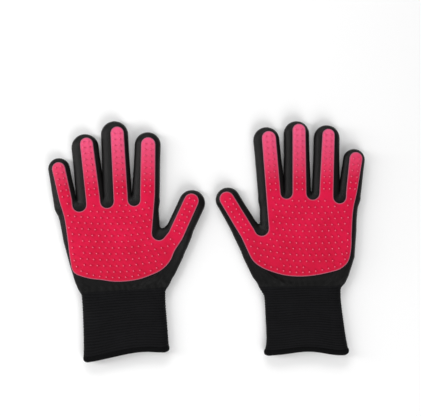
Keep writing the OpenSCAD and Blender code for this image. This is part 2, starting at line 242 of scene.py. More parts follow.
class Glove:
    """One glove's flat frame: the wrist at the origin, the fingertips along +Y and the thumb towards +X."""

    def __init__(self, side):
        self.side = side
        fold = JOINTS[f"{side}_cuff_fold"]
        self.wrist = np.array(fold["pos_m"][:2]) / MM
        middle = np.array(JOINTS[f"{side}_middle_root_fold"]["pos_m"][:2]) / MM - self.wrist
        thumb = np.array(JOINTS[f"{side}_thumb_root_fold"]["pos_m"][:2]) / MM - self.wrist
        axis = unit(np.array(fold["axis"][:2]))
        north = np.array([-axis[1], axis[0]])
        north = north * np.sign(north @ middle)
        east = np.array([north[1], -north[0]])
        self.mirrored = east @ thumb < 0
        east = east * np.sign(east @ thumb)
        self.to_local = np.stack([east, north], axis=1)
        self.digits = [Digit(self, name) for name in DIGITS]
        self.root_y = self.digits[0].root[1]
        low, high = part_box(f"{side}_palm_knit")
        self.half = (high.z - low.z) / MM / 2
        self.slab, self.thumb_side = self.palm_shapes()
        cuff = self.node("cuff")
        self.cuff_length = -cuff[:, 1].min()
        self.cuff_half = cuff[:, 2].max() / 2
        depths, outer, inner = np.array(CUFF_EDGES[side]).T
        self.outer_edge, self.inner_edge = (np.polyfit(depths, edge, 4) for edge in (outer, inner))
        self.hem_line = np.polyfit(*np.array(HEM_LINE[side]).T, 6)
        self.folds = THUMB_FOLDS + OUTER_FOLDS + (LEFT_ONLY_FOLDS if self.mirrored else [])

    def local(self, points):
        flat = (points[:, :2] - self.wrist) @ self.to_local
        return np.concatenate([flat, points[:, 2:]], axis=1)

    def node(self, name):
        """The points of one of this glove's nodes."""
        return self.local(node_points(f"{self.side}_{name}"))

    def world(self, points):
        flat = self.wrist + points[:, :2] @ self.to_local.T
        return np.concatenate([flat, points[:, 2:]], axis=1) * MM

    def world_point(self, flat):
        return tuple(self.world(np.array([[flat[0], flat[1], 0.0]]))[0])

    def palm_shapes(self):
        index, thumb = self.digits[3], self.digits[4]
        round_off = self.half
        inner = index.root[0] + index.width / 2 - round_off - 1
        top = self.root_y - WEB_BELOW - round_off
        heel = THUMB_SIDE[self.side]
        slab = OUTER_SIDE[self.side] + [(inner, top), (inner, PALM_CORNER_Y), heel[0]]
        reach = thumb.width / 2 - round_off
        side = heel + [tuple(thumb.root + thumb.twist + reach * thumb.aside + 3 * thumb.way),
                       tuple(thumb.root - reach * thumb.aside), THUMB_HOLLOW]
        return np.array(slab), np.array(side)

    # -- the knitted form, as a field that is negative inside --

    def cuff_edges(self, y):
        """Middle and half width of the cuff at a distance below the wrist."""
        below = np.clip(-y, 0, CUFF_REACH)
        outer, inner = np.polyval(self.outer_edge, below), np.polyval(self.inner_edge, below)
        return (outer + inner) / 2, (inner - outer) / 2

    def palm_depth(self, x, y):
        slab = polygon_depth(x, y, self.slab) + self.half
        side = polygon_depth(x, y, self.thumb_side) + self.half
        middle, half = self.cuff_edges(y)
        cuff = np.minimum(half - np.abs(x - middle), CUFF_RISE - y)
        return smooth_max(smooth_max(slab, side, PALM_BLEND), cuff, WRIST_BLEND)

    def depth(self, x, y, digit=None):
        palm = self.palm_depth(x, y)
        digits = [digit] if digit else self.digits
        return np.max([smooth_max(palm, d.depth(x, y), WEB) for d in digits], axis=0)

    def relief(self, x, y):
        """How much the top of the knit lies above or below its plain height."""
        rise = 0.3 * np.sin(x / 15 + 1) * np.sin(y / 21 + 0.5) + 0.25 * np.sin((x + y) / 27 + 2)
        for at_x, at_y, angle, length, width, height in self.folds:
            c, s = math.cos(math.radians(angle)), math.sin(math.radians(angle))
            along = (x - at_x) * c + (y - at_y) * s
            across = (y - at_y) * c - (x - at_x) * s
            rise = rise + height * np.exp(-(across / width) ** 2 - (2 * along / length) ** 4)
        gather = np.sin(x / 1.15 + 1.6 * np.sin(x / 7) + y / 5) * np.exp(-((y - 2) / 5) ** 2)
        return rise + 0.28 * gather

    def heights(self, y):
        return self.half + (self.cuff_half - self.half) * smooth_step(-y / THICKNESS_CHANGE)

    def top(self, x, y):
        rounding = np.clip(1 - self.depth(x, y) / EDGE, 0, 1)
        half = self.heights(y)
        return half + (half + self.relief(x, y)) * (1 - rounding ** ACROSS_POWER) ** (1 / HEIGHT_POWER)

    def field(self, p, digit=None):
        x, y, z = p[..., 0], p[..., 1], p[..., 2]
        rounding = np.maximum(1 - self.depth(x, y, digit) / EDGE, 0)
        half = self.heights(y)
        rise = np.where(z > half, (z - half) / (half + self.relief(x, y)), (half - z) / half)
        return (rounding ** ACROSS_POWER + rise ** HEIGHT_POWER) ** (1 / HEIGHT_POWER) - 1

    def slope(self, p, digit=None):
        steps = np.eye(3) * SLOPE_STEP
        rises = [self.field(p + s, digit) - self.field(p - s, digit) for s in steps]
        return np.stack(rises, -1) / (2 * SLOPE_STEP)

    def settle(self, p, level=0.0):
        """Moves points onto the surface where the field has a level."""
        for _ in range(4):
            g = self.slope(p)
            move = ((self.field(p) - level) / (g * g).sum(-1))[..., None] * g
            reach = lengths(move)
            p = p - move / np.maximum(reach / 0.8, 1)
        return p

    def normals(self, p, digit=None):
        g = self.slope(p, digit)
        return g / lengths(g)

    def stitch(self, p, digit=None):
        """Coordinates that run over the knit at its true length, on the flanks too."""
        x, y = p[..., 0], p[..., 1]
        out = np.stack([self.depth(x - 0.2, y, digit) - self.depth(x + 0.2, y, digit),
                        self.depth(x, y - 0.2, digit) - self.depth(x, y + 0.2, digit)], -1)
        out = out / np.maximum(lengths(out), 0.1)
        half = self.heights(y)
        drop = np.maximum(half - np.abs(p[..., 2] - half), 0)
        return p[..., :2] + out * (drop * drop / (2 * half))[..., None]


# Turning arrays into pieces

def added(name, data):
    """A new object in the scene."""
    thing = bpy.data.objects.new(name, data)
    bpy.context.scene.collection.objects.link(thing)
    return thing


class Sheet:
    """Points, faces, normals, surface coordinates and tones of one piece, in a glove's frame."""

    def __init__(self):
        self.points, self.faces, self.normals, self.coordinates, self.tones = [], [], [], [], []
        self.count = 0

    def add(self, points, normals, coordinates, tones=None):
        start = self.count
        self.points.append(points)
        self.normals.append(normals)
        self.coordinates.append(coordinates)
        self.tones.append(np.zeros((len(points), 3)) if tones is None else tones)
        self.count += len(points)
        return start

    def lay(self, flat, z, tones=None):
        """Points over flat places, whose normals come from the finished mesh."""
        points = np.column_stack([flat, z])
        return self.add(points, np.zeros_like(points), flat, tones)

    def build(self, name, glove, material):
        points = np.concatenate(self.points)
        normals = np.concatenate(self.normals)
        normals[:, :2] = normals[:, :2] @ glove.to_local.T
        faces = flipped(self.faces) if glove.mirrored else self.faces
        mesh = bpy.data.meshes.new(name)
        mesh.from_pydata([tuple(p) for p in glove.world(points)], [],
                         [tuple(int(i) for i in f) for f in faces])
        corners = np.zeros(len(mesh.loops), int)
        mesh.loops.foreach_get("vertex_index", corners)
        layer = mesh.uv_layers.new(name="stitch")
        layer.data.foreach_set("uv", (np.concatenate(self.coordinates)[corners] / 1000 + 0.5).ravel())
        tone = mesh.attributes.new("tone", "FLOAT_COLOR", "POINT")
        colours = np.concatenate([np.concatenate(self.tones), np.ones((len(points), 1))], axis=1)
        tone.data.foreach_set("color", colours.ravel())
        mesh.polygons.foreach_set("use_smooth", [True] * len(mesh.polygons))
        normals = normals / np.maximum(lengths(normals), 1e-9)
        mesh.normals_split_custom_set_from_vertices([tuple(n) for n in normals])
        mesh.materials.append(material)
        return added(name, mesh)


def flipped(faces):
    return [f[::-1] for f in faces]


def bands(first, rings, count, flip=False):
    """Quads between successive rings of points."""
    faces = []
    for r in range(rings - 1):
        for i in range(count):
            a, b = first + r * count + i, first + r * count + (i + 1) % count
            quad = (a, b, b + count, a + count)
            faces.append(quad[::-1] if flip else quad)
    return faces


def joining(a, b, count):
    """Quads between two rings of points that start at a and b."""
    return [(a + i, b + i, b + (i + 1) % count, a + (i + 1) % count) for i in range(count)]


def fan(ring, tip, count, flip=False):
    faces = [(ring + i, ring + (i + 1) % count, tip) for i in range(count)]
    return flipped(faces) if flip else faces


# The knitted palm

def net_surface(values, low, step):
    """Quads where a field sampled on a grid crosses zero, with one point in each crossed cell."""
    inside = values < 0
    shape = np.array(values.shape) - 1
    corners = [(i, j, k) for i in (0, 1) for j in (0, 1) for k in (0, 1)]

    def shifted(array, c):
        return array[c[0]:c[0] + shape[0], c[1]:c[1] + shape[1], c[2]:c[2] + shape[2]]

    filled = sum(shifted(inside, c).astype(int) for c in corners)
    active = (filled > 0) & (filled < 8)
    index = np.full(active.shape, -1)
    index[active] = np.arange(active.sum())
    total = np.zeros((active.sum(), 3))
    hits = np.zeros(active.sum())
    for a in corners:
        for axis in range(3):
            if a[axis]:
                continue
            b = tuple(1 if i == axis else a[i] for i in range(3))
            va, vb = shifted(values, a)[active], shifted(values, b)[active]
            crossing = (va < 0) != (vb < 0)
            t = np.where(crossing, va / np.where(crossing, va - vb, 1), 0)
            total += crossing[:, None] * (np.array(a) + t[:, None] * (np.array(b) - np.array(a)))
            hits += crossing
    points = np.array(low) + (np.argwhere(active) + total / hits[:, None]) * step
    quads = []
    for axis in range(3):
        u, v = (axis + 1) % 3, (axis + 2) % 3
        near = np.take(inside, range(0, inside.shape[axis] - 1), axis)
        far = np.take(inside, range(1, inside.shape[axis]), axis)
        place = np.argwhere(near != far)
        place = place[(place[:, u] > 0) & (place[:, v] > 0)
                      & (place[:, u] < shape[u]) & (place[:, v] < shape[v])]
        step_u, step_v = np.eye(3, dtype=int)[u], np.eye(3, dtype=int)[v]
        around = [place - step_u - step_v, place - step_v, place, place - step_u]
        quad = np.stack([index[tuple(cell.T)] for cell in around], axis=1)
        leaving = near[tuple(place.T)]
        quads.append(np.where(leaving[:, None], quad, quad[:, ::-1]))
    return points, np.concatenate(quads)


def slice_faces(bm, flat_point, flat_normal, chosen):
    """Cuts the chosen faces of a mesh with an upright plane."""
    faces = [f for f in bm.faces if chosen(f.calc_center_median())]
    around = {v for f in faces for v in f.verts} | {e for f in faces for e in f.edges}
    bmesh.ops.bisect_plane(bm, geom=faces + list(around), dist=0.001,
                           plane_co=(*flat_point, 0), plane_no=(*flat_normal, 0))


def palm_surface(glove):
    """The palm's outer skin, open at the wrist, the finger roots and the thumb."""
    thumb = glove.digits[4]
    low = np.array([glove.slab[:, 0].min() - 12, -3 * NET, -2 * NET])
    high = np.array([glove.thumb_side[:, 0].max() + 22, glove.root_y, 2 * glove.half + 3 * NET])
    axes = [np.arange(a, b + NET, NET) for a, b in zip(low, high)]
    grid = np.stack(np.meshgrid(*axes, indexing="ij"), -1)
    points, quads = net_surface(glove.field(grid), low, NET)
    bm = bmesh.new()
    verts = [bm.verts.new(p) for p in points]
    for quad in quads:
        if len(set(quad)) == 4:
            bm.faces.new([verts[i] for i in quad])
    top = glove.root_y - PALM_ENDS
    near_thumb = thumb.width / 2 + 3.5
    slice_faces(bm, (0, 0), (0, 1), lambda c: abs(c.y) < 3 * NET)
    slice_faces(bm, (0, top), (0, 1), lambda c: abs(c.y - top) < 3 * NET)
    slice_faces(bm, thumb.root + THUMB_STUB * thumb.way, thumb.way,
                lambda c: abs(thumb.off(c.x, c.y)) < near_thumb and abs(thumb.past(c.x, c.y) - THUMB_STUB) < 4)
    gone = []
    for f in bm.faces:
        c = f.calc_center_median()
        beyond_thumb = thumb.past(c.x, c.y) > THUMB_STUB and abs(thumb.off(c.x, c.y)) < near_thumb
        if c.y < 0 or c.y > top or beyond_thumb:
            gone.append(f)
    bmesh.ops.delete(bm, geom=gone, context="FACES")
    loose = [v for v in bm.verts if not v.link_faces]
    bmesh.ops.delete(bm, geom=loose, context="VERTS")
    return bm


def mesh_arrays(bm):
    bm.verts.index_update()
    points = np.array([v.co[:] for v in bm.verts])
    faces = [tuple(v.index for v in f.verts) for f in bm.faces]
    rim = [e for e in bm.edges if len(e.link_faces) == 1]
    edges = []
    for e in rim:
        loop = e.link_loops[0]
        edges.append((loop.vert.index, loop.link_loop_next.vert.index))
    return points, faces, edges


def knitted_palm(glove, material):
    bm = palm_surface(glove)
    points, faces, rim = mesh_arrays(bm)
    bm.free()
    outer = glove.settle(points)
    normals = glove.normals(outer)
    inner = glove.settle(outer - WALL * normals, -WALL / glove.half)
    sheet = Sheet()
    first = sheet.add(outer, normals, glove.stitch(outer))
    second = sheet.add(inner, -normals, glove.stitch(outer))
    sheet.faces += faces
    sheet.faces += [tuple(i + second for i in face[::-1]) for face in faces]
    sheet.faces += [(b + first, a + first, a + second, b + second) for a, b in rim]
    return sheet.build(f"{glove.side}_knit_palm", glove, material)


# The knitted digits

def cast(glove, digit, centres, across, level):
    """Rings of points where rays from the middle of a tube meet the knitted form."""
    angle = turns(ROUND)
    sideways = across[:, None, :] * (np.cos(angle) * digit.width / 2)[None, :, None]
    half = glove.heights(centres[:, 1])[:, None]
    upward = np.sin(angle)[None, :] * half
    ray = np.concatenate([sideways, upward[..., None]], axis=-1)
    middle = np.concatenate([np.repeat(centres[:, None], ROUND, 1),
                             np.repeat(half[..., None], ROUND, 1)], axis=-1)

    def outside(p):
        return (glove.field(p, digit) > level) | pressed(glove, digit, p)

    return farthest(lambda reach: middle + ray * reach[..., None], ray.shape[:2], 1.8, 26, outside)


def pressed(glove, digit, place):
    """Whether places belong to a finger beside this one: fingers that touch share the room between them."""
    x, y = place[..., 0], place[..., 1]
    fingers = [d for d in glove.digits[:4] if d is not digit and digit.name != "thumb"]
    own = digit.depth(x, y) - FINGER_GAP
    return np.any([d.depth(x, y) > own for d in fingers], axis=0) if fingers else np.zeros(x.shape, bool)


def knitted_digit(glove, digit, material):
    """The lower piece, up to the cut between the two folds, and the upper piece with the tip."""
    start = THUMB_STUB if digit.name == "thumb" else -PALM_ENDS / digit.slant
    pieces = []
    rings, tips, cut_at = [], [], []
    for level in (0.0, -WALL / glove.half):
        ends = np.linspace(digit.length - digit.width / 2, digit.length, 400)
        on_axis = np.stack([*(digit.root + ends[:, None] * digit.way).T, np.full(len(ends), glove.half)], -1)
        tip = np.interp(level, glove.field(on_axis, digit), ends)
        shoulder = tip - digit.width / 2
        low = np.linspace(start, digit.cut, 14)
        body = np.linspace(digit.cut, shoulder, max(4, round((shoulder - digit.cut) / 1.8)))[1:]
        end = shoulder + (tip - shoulder) * np.sin(np.radians(np.arange(8, 88, 6.5)))
        u = np.concatenate([low, body, end])
        turn = smooth_step((u - digit.cut) / (shoulder - digit.cut))[:, None]
        across = digit.level * (1 - turn) + digit.aside * turn
        across = across / lengths(across)
        centres = digit.root + u[:, None] * digit.way
        rings.append(cast(glove, digit, centres, across, level))
        tips.append(np.array([*(digit.root + tip * digit.way), glove.half]))
        cut_at.append(len(low))
    n = ROUND
    for part in ("lower", "upper"):
        sheet = Sheet()
        firsts = []
        for k, sign in ((0, 1), (1, -1)):
            chosen = rings[k][:cut_at[k]] if part == "lower" else rings[k][cut_at[k] - 1:]
            flat = chosen.reshape(-1, 3)
            normals = glove.normals(flat, digit) * sign
            first = sheet.add(flat, normals, glove.stitch(flat, digit))
            sheet.faces += bands(first, len(chosen), n, flip=k == 0)
            firsts.append((first, len(chosen)))
            if part == "upper":
                tip_normal = np.array([[*digit.way, 0.0]]) * sign
                tip = sheet.add(tips[k][None], tip_normal, glove.stitch(tips[k][None], digit))
                sheet.faces += fan(first + (len(chosen) - 1) * n, tip, n, flip=k == 0)
        (outer, outer_rings), (inner, inner_rings) = firsts
        sheet.faces += flipped(joining(outer, inner, n))
        if part == "lower":
            sheet.faces += joining(outer + (outer_rings - 1) * n, inner + (inner_rings - 1) * n, n)
        pieces.append(sheet.build(f"{glove.side}_{digit.name}_knit_{part}", glove, material))
    return pieces


# The cuff and its hem

def cuff_end(glove, x):
    """How far below the wrist the ribs stop, across the cuff."""
    middle, half = glove.cuff_edges(-glove.cuff_length)
    corner = np.clip((np.abs(x - middle) - half) / HEM_CORNER + 1, 0, 0.97)
    rise = HEM_CORNER * (1 - np.sqrt(1 - corner * corner))
    return np.polyval(glove.hem_line, np.clip(x, *HEM_REACH)) + HEM_DEPTH + 0.75 * rise


def cuff_rings(glove, level, count=CUFF_AROUND):
    ribs = round(glove.cuff_length / RIB[glove.side])
    rows = ribs * RIB_ROWS + 1
    angle = turns(count)
    v = np.linspace(0, 1, rows)[:, None]

    def place(reach):
        guess_y = -v * glove.cuff_length * np.ones((1, count))
        for _ in range(3):
            middle, half = glove.cuff_edges(guess_y)
            x = middle + reach * np.cos(angle) * half
            guess_y = v * cuff_end(glove, x)
        deep = glove.heights(guess_y)
        return np.stack([x, guess_y, deep + reach * np.sin(angle) * (deep + 0.8)], -1)

    return farthest(place, (rows, count), 1.25, 24, lambda p: glove.field(p) > level), v * ribs


def grid_normals(rings):
    around = np.roll(rings, -1, axis=1) - np.roll(rings, 1, axis=1)
    along = np.gradient(rings, axis=0)
    n = np.cross(around, along)
    return n / np.maximum(lengths(n), 1e-9)


def ribbed_cuff(glove, material):
    outer, phase = cuff_rings(glove, 0.0)
    inner, _ = cuff_rings(glove, -CUFF_WALL / glove.half)
    out = glove.normals(outer)
    fade = smooth_step(-outer[..., 1] / 5)
    wander = 0.12 * np.sin(outer[..., 0] / 9 + phase * 0.7)
    ridge = np.abs(np.sin(math.pi * (phase + wander))) ** 0.75 - 0.62
    uneven = 1 + 0.25 * np.sin(outer[..., 0] / 11 + 2.1 * np.floor(phase))
    outer = outer + out * (RIB_HEIGHT * fade * ridge * uneven)[..., None]
    outer[..., 2] = np.maximum(outer[..., 2], 0)
    shade = grid_normals(outer)
    shade = shade * np.sign((shade * out).sum(-1, keepdims=True))
    shade[0] = out[0]
    rows, n = outer.shape[:2]
    arc = np.linalg.norm(np.roll(outer[0], -1, axis=0) - outer[0], axis=-1)
    around = np.concatenate([[0], np.cumsum(arc)[:-1]])
    coordinates = np.stack([np.repeat(around[None], rows, 0), outer[..., 1]], -1).reshape(-1, 2)
    tones = np.zeros((rows * n, 3))
    # the ridge height, which the cuff's material uses to paint shade into the grooves
    tones[:, 0] = np.clip((ridge + 0.62), 0, 1).ravel()
    sheet = Sheet()
    first = sheet.add(outer.reshape(-1, 3), shade.reshape(-1, 3), coordinates, tones)
    second = sheet.add(inner.reshape(-1, 3), -out.reshape(-1, 3), coordinates)
    sheet.faces += bands(first, rows, n) + flipped(bands(second, rows, n))
    sheet.faces += joining(first, second, n)
    sheet.faces += flipped(joining(first + (rows - 1) * n, second + (rows - 1) * n, n))
    return sheet.build(f"{glove.side}_rib_cuff", glove, material)


def rolled_hem(glove, material):
    """The overlocked roll at the cuff's end, fuller at its two corners."""
    count, around = HEM_AROUND, HEM_SECTION
    rings, _ = cuff_rings(glove, -0.5 * CUFF_WALL / glove.half, count)
    edge = rings[-1]
    out = glove.normals(edge)
    middle, half = glove.cuff_edges(edge[:, 1])
    corner = smooth_step((np.abs(edge[:, 0] - middle) / half - 0.78) / 0.2)
    deep = HEM_DEPTH * (1 + 0.12 * corner)
    bulge = HEM_BULGE * (1 + HEM_FULLER[glove.side] * corner)
    length = np.linalg.norm(np.roll(edge, -1, axis=0) - edge, axis=-1)
    run = np.concatenate([[0], np.cumsum(length)[:-1]])
    stitches = round(length.sum() / HEM_STITCH)
    phase = run / length.sum() * stitches
    turn = turns(around)
    # the section is a flattened round, with the stitches wound round it at a slant
    wind = 0.08 * np.cos(2 * math.pi * phase[:, None] + 1.5 * np.sin(turn)[None])
    lift = np.sign(np.cos(turn)) * np.abs(np.cos(turn)) ** 0.9
    reach = np.sign(np.sin(turn)) * np.abs(np.sin(turn)) ** 0.8
    outward = (bulge[:, None] * lift[None]) * (1 + wind)
    down = (deep[:, None] * reach[None]) * (1 + 0.4 * wind)
    flat_out = out * np.array([1, 0.15, 1])
    flat_out = flat_out / lengths(flat_out)
    points = edge[:, None] + flat_out[:, None] * outward[..., None]
    points[..., 1] -= down
    points[..., 2] = np.maximum(points[..., 2], 0)
    lines = np.roll(points, -1, axis=0) - np.roll(points, 1, axis=0)
    wraps = np.roll(points, -1, axis=1) - np.roll(points, 1, axis=1)
    shade = np.cross(lines, wraps)
    outwards = points - edge[:, None]
    shade = shade * np.sign((shade * outwards).sum(-1).sum())
    coordinates = np.stack(np.broadcast_arrays(run[:, None], turn[None] * 2), -1).reshape(-1, 2)
    sheet = Sheet()
    sheet.add(points.reshape(-1, 3), shade.reshape(-1, 3), coordinates)
    faces = bands(0, count, around) + joining(0, (count - 1) * around, around)
    a, b, c = (points.reshape(-1, 3)[i] for i in faces[0][:3])
    facing = np.cross(b - a, c - a) @ shade.reshape(-1, 3)[faces[0][0]]
    sheet.faces = faces if facing > 0 else flipped(faces)
    return sheet.build(f"{glove.side}_rolled_hem", glove, material)


# The silicone pad

def pad_loop(glove):
    """The palm pad's outline in order, from the flat underside of its node."""
    mesh = frame["nodes"][f"{glove.side}_palm_pad"].data
    mesh.calc_loop_triangles()
    points = glove.node("palm_pad")
    floor = points[:, 2].min() + 0.01
    _, same = np.unique(np.round(points, 2), axis=0, return_inverse=True)
    same = same.ravel()
    first = {}
    for i, key in enumerate(same):
        first.setdefault(key, i)
    edges = set()
    for triangle in mesh.loop_triangles:
        corners = list(triangle.vertices)
        if all(points[i, 2] < floor for i in corners):
            keys = [same[i] for i in corners]
            for a, b in zip(keys, keys[1:] + keys[:1]):
                edges ^= {(min(a, b), max(a, b))}
    links = {}
    for a, b in edges:
        links.setdefault(a, []).append(b)
        links.setdefault(b, []).append(a)
    begin = min(links)
    loop, last, here = [begin], None, begin
    while True:
        step = [k for k in links[here] if k != last][0]
        if step == begin:
            break
        loop.append(step)
        last, here = here, step
    flat = np.array([points[first[key], :2] for key in loop])
    area = np.sum(flat[:, 0] * np.roll(flat[:, 1], -1) - np.roll(flat[:, 0], -1) * flat[:, 1])
    return flat if area > 0 else flat[::-1]


def strip_tip(glove, digit):
    """The round end of a digit's strip of pad: its right shoulder, its top and its left shoulder."""
    tip = glove.node(f"{digit.name}_tip_pad")[:, :2] - digit.root
    along, off = tip @ digit.way, tip @ digit.aside
    top = along.max()
    near = along > top - 9
    radius = (off[near].max() - off[near].min()) / 2
    shift = (off[near].max() + off[near].min()) / 2
    turn = np.radians(np.arange(0, 181, 12))
    arc = np.stack([shift + radius * np.cos(turn), top - radius + radius * np.sin(turn)], -1)
    return digit.root + arc[:, :1] * digit.aside + arc[:, 1:] * digit.way


def pad_outline(glove):
    """The whole pad's outline: the palm's, with every digit's strip put in where the palm was cut."""
    loop = pad_loop(glove)
    outline = []
    for here, ahead in zip(loop, np.roll(loop, -1, axis=0)):
        outline.append(here)
        centre = (here + ahead) / 2
        for digit in glove.digits:
            at_fold = all(abs(digit.past(*end) + FOLD_GAP) < 0.1 for end in (here, ahead))
            if at_fold and abs(digit.off(*centre)) < 6 and np.linalg.norm(ahead - here) > 8:
                outline += list(strip_tip(glove, digit))
    outline = even(np.array(outline), OUTLINE_STEP)
    for place, shift, reach in PAD_SHIFTS[glove.side]:
        near = np.exp(-((outline - place) ** 2).sum(axis=1) / reach ** 2)
        outline = outline + near[:, None] * shift
    return outline


def even(loop, step):
    """A closed outline with evenly spaced points, its corners eased."""
    closed = np.concatenate([loop, loop[:1]])
    run = np.concatenate([[0], np.cumsum(np.linalg.norm(np.diff(closed, axis=0), axis=1))])
    at = np.linspace(0, run[-1], round(run[-1] / step), endpoint=False)
    points = np.stack([np.interp(at, run, closed[:, i]) for i in (0, 1)], -1)
    for share in [0.5, -0.52] * 12 + [0.5]:
        beside = (np.roll(points, 1, axis=0) + np.roll(points, -1, axis=0)) / 2
        points = points + share * (beside - points)
    return points


def inset(loop, distance):
    run = np.roll(loop, -1, axis=0) - np.roll(loop, 1, axis=0)
    inward = np.stack([-run[:, 1], run[:, 0]], -1)
    return loop + distance * inward / lengths(inward)


def nub_places(glove):
    """The middle of every nub on the glove, from the flat tops in the nodes."""
    found = []
    stems = ["palm_pad"] + [f"{name}_{part}_pad" for name in DIGITS for part in ("base", "tip")]
    for stem in stems:
        points = glove.node(stem)
        tops = np.unique(np.round(points[points[:, 2] > points[:, 2].max() - 0.02, :2], 2), axis=0)
        while len(tops):
            close = np.linalg.norm(tops - tops[0], axis=1) < 2
            found.append((tops[close].max(0) + tops[close].min(0)) / 2)
            tops = tops[~close]
    return np.array(found)


def kept_inside(points, loop, margin):
    """Moves points that are nearer to an outline than the margin a little further in."""
    def depth(p):
        return polygon_depth(p[:, 0], p[:, 1], loop)
    steps = np.eye(2) * 0.05
    inward = np.stack([depth(points + s) - depth(points - s) for s in steps], -1)
    inward = inward / np.maximum(lengths(inward), 1e-6)
    return points + inward * np.maximum(margin - depth(points), 0)[:, None]


def lattice(loop, spacing, margin):
    low, high = loop.min(0), loop.max(0)
    rows = np.arange(low[1], high[1], spacing * 0.866)
    x = np.arange(low[0], high[0], spacing)
    grid = np.array([(a + (i % 2) * spacing / 2, b) for i, b in enumerate(rows) for a in x])
    return grid[polygon_depth(grid[:, 0], grid[:, 1], loop) > margin]


def fill(loops, extra):
    """Triangles between closed loops of points, with extra points inside them."""
    points = np.concatenate([*loops, extra])
    edges, start = [], 0
    for loop in loops:
        n = len(loop)
        edges += [(start + i, start + (i + 1) % n) for i in range(n)]
        start += n
    out = delaunay_2d_cdt([Vector(p) for p in points], edges, [], 1, 1e-5)
    source = [ids[0] if ids else -1 for ids in out[3]]
    triangles = np.array([[source[i] for i in face] for face in out[2]])
    triangles = triangles[(triangles >= 0).all(axis=1)]
    centres = points[triangles].mean(axis=1)
    return triangles, centres


def silicone_pad(glove):
    """The whole pad as one closed mesh, before it is cut at the folds."""
    outline = pad_outline(glove)
    n = len(outline)
    sheet = Sheet()
    rim_rows = []
    for distance, height in RIM:
        ring = inset(outline, distance)
        z = glove.top(ring[:, 0], ring[:, 1]) + height
        tone = np.zeros((n, 3))
        tone[:, 1] = max(0, 1 - distance / RIM[-1][0])
        rim_rows.append(sheet.lay(ring, z, tone))
    for a, b in zip(rim_rows, rim_rows[1:]):
        sheet.faces += joining(b, a, n)
    # the top, with a hole for each nub
    inner = inset(outline, RIM[-1][0])
    nubs = kept_inside(nub_places(glove), inner, NUB[0][0] + 0.3)
    angle = turns(NUB_SIDES)
    circle = np.stack([np.cos(angle), np.sin(angle)], -1)
    feet = [nub + NUB[0][0] * circle for nub in nubs]
    grid = lattice(inner, TOP_MESH, 0.8)
    gap = np.linalg.norm(grid[:, None] - nubs[None], axis=2).min(axis=1)
    grid = grid[gap > NUB[0][0] + 0.5]
    triangles, centres = fill([inner, *feet], grid)
    keep = np.linalg.norm(centres[:, None] - nubs[None], axis=2).min(axis=1) > NUB[0][0] * 0.97
    ids = list(range(rim_rows[-1], rim_rows[-1] + n))
    for nub, foot in zip(nubs, feet):
        rings = []
        ground = glove.top(foot[:, 0], foot[:, 1])
        for radius, height in NUB:
            ring = nub + radius * circle
            tone = np.zeros((NUB_SIDES, 3))
            # how high up the nub a point lies; the material paints the higher points as a highlight
            tone[:, 0] = (height - NUB[0][1]) / (NUB_TOP - NUB[0][1])
            rings.append(sheet.lay(ring, ground + height, tone))
        ids += list(range(rings[0], rings[0] + NUB_SIDES))
        for a, b in zip(rings, rings[1:]):
            sheet.faces += joining(b, a, NUB_SIDES)
        tip = sheet.lay(nub[None], [ground.mean() + NUB_TOP], np.array([[1.0, 0, 0]]))
        sheet.faces += fan(rings[-1], tip, NUB_SIDES)
    first = sheet.lay(grid, glove.top(grid[:, 0], grid[:, 1]) + RIM[-1][1])
    ids += list(range(first, first + len(grid)))
    sheet.faces += [tuple(ids[i] for i in t) for t in triangles[keep]]
    # the underside lies on the knit
    grid = lattice(outline, UNDER_MESH, 1.5)
    triangles, _ = fill([outline], grid)
    first = sheet.lay(grid, glove.top(grid[:, 0], grid[:, 1]) + RIM[0][1])
    ids = list(range(rim_rows[0], rim_rows[0] + n)) + list(range(first, first + len(grid)))
    sheet.faces += [tuple(ids[i] for i in t[::-1]) for t in triangles]
    return sheet


def owner(glove, x, y):
    """Which digit a point of the pad belongs to, and on which side of its cut; or the palm."""
    best = None
    for digit in glove.digits:
        off = abs(digit.off(x, y))
        if digit.past(x, y) > 0 and off < 14 and (best is None or off < best[0]):
            best = (off, digit)
    if best is None:
        return None, "palm"
    digit = best[1]
    return digit, "lower" if digit.past(x, y) < digit.cut * digit.slant else "upper"


def padded_pieces(glove, material):
    """The pad cut at the folds into a palm piece and two pieces for each digit."""
    whole = silicone_pad(glove)
    points = np.concatenate(whole.points)
    tones = np.concatenate(whole.tones)
    bm = bmesh.new()
    normal_layer = bm.verts.layers.float_vector.new("normal")
    tone_layer = bm.verts.layers.float_vector.new("tone")
    verts = [bm.verts.new(p) for p in points]
    for face in whole.faces:
        bm.faces.new([verts[i] for i in face])
    bm.normal_update()
    for vert, tone in zip(verts, tones):
        vert[normal_layer] = vert.normal
        vert[tone_layer] = tone
    for digit in glove.digits:
        for distance in (0, digit.cut):
            def near(c, digit=digit, distance=distance):
                place = digit.past(c.x, c.y) - distance * digit.slant
                return abs(place) < 5 and abs(digit.off(c.x, c.y)) < 13
            slice_faces(bm, digit.root + distance * digit.way, digit.square, near)
    groups = {}
    for face in bm.faces:
        c = face.calc_center_median()
        digit, part = owner(glove, c.x, c.y)
        groups.setdefault((digit, part), []).append(face)
    pieces = {}
    for (digit, part), faces in groups.items():
        order = {}
        for face in faces:
            for vert in face.verts:
                order.setdefault(vert, len(order))
        sheet = Sheet()
        co = np.array([v.co[:] for v in order])
        normals = np.array([v[normal_layer][:] for v in order])
        sheet.add(co, normals, co[:, :2], np.array([v[tone_layer][:] for v in order]))
        sheet.faces = [tuple(order[v] for v in face.verts) for face in faces]
        sheet.faces += caps(sheet.faces)
        name = "palm" if digit is None else f"{digit.name}_{part}"
        stem = f"{glove.side}_silicone_palm" if digit is None else f"{glove.side}_{digit.name}_silicone_{part}"
        pieces[name] = sheet.build(stem, glove, material)
    bm.free()
    return pieces


